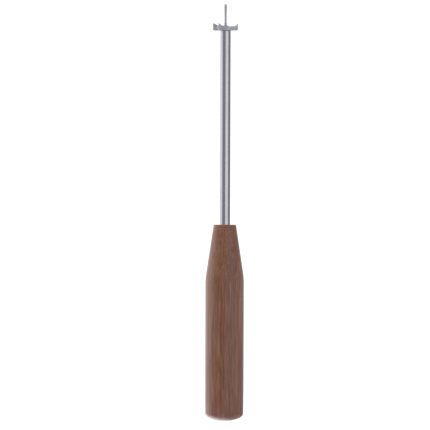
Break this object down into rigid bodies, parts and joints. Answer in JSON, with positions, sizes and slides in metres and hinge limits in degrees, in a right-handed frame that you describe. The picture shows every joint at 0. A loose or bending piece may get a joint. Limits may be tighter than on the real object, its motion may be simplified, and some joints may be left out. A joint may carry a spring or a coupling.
{
  "type": "clay modeling tool",
  "caption": "Hand tool for clay: turned hardwood handle, long slim steel shaft, and a small crown of saw teeth held on its end by a centre needle and a nut.",
  "frame": {"origin": "on the tool's axis, halfway along the handle's grip, where the hand holds it: 43 mm above the flat on the butt", "axes": "+Z runs along the tool's axis from the handle's butt to the needle's tip; -Y is the side the picture shows; +X completes the right-handed frame"},
  "size_m": [0.0222, 0.0222, 0.2418],
  "materials": {
    "walnut": "satin oiled, straight grain along the handle",
    "cured_epoxy": "cured adhesive, hidden in the handle",
    "shaft_steel": "bright drawn steel, finely polished along its length",
    "crown_steel": "turned and filed, satin",
    "fastener_steel": "satin machined",
    "needle_steel": "ground and lightly polished"
  },
  "bodies": {
    "root": {"handle": "walnut", "tang_adhesive": "cured_epoxy", "shaft": "shaft_steel", "toothed_crown": "crown_steel", "crown_washer": "fastener_steel", "crown_nut": "fastener_steel", "centre_needle": "needle_steel"}
  },
  "joints": []
}
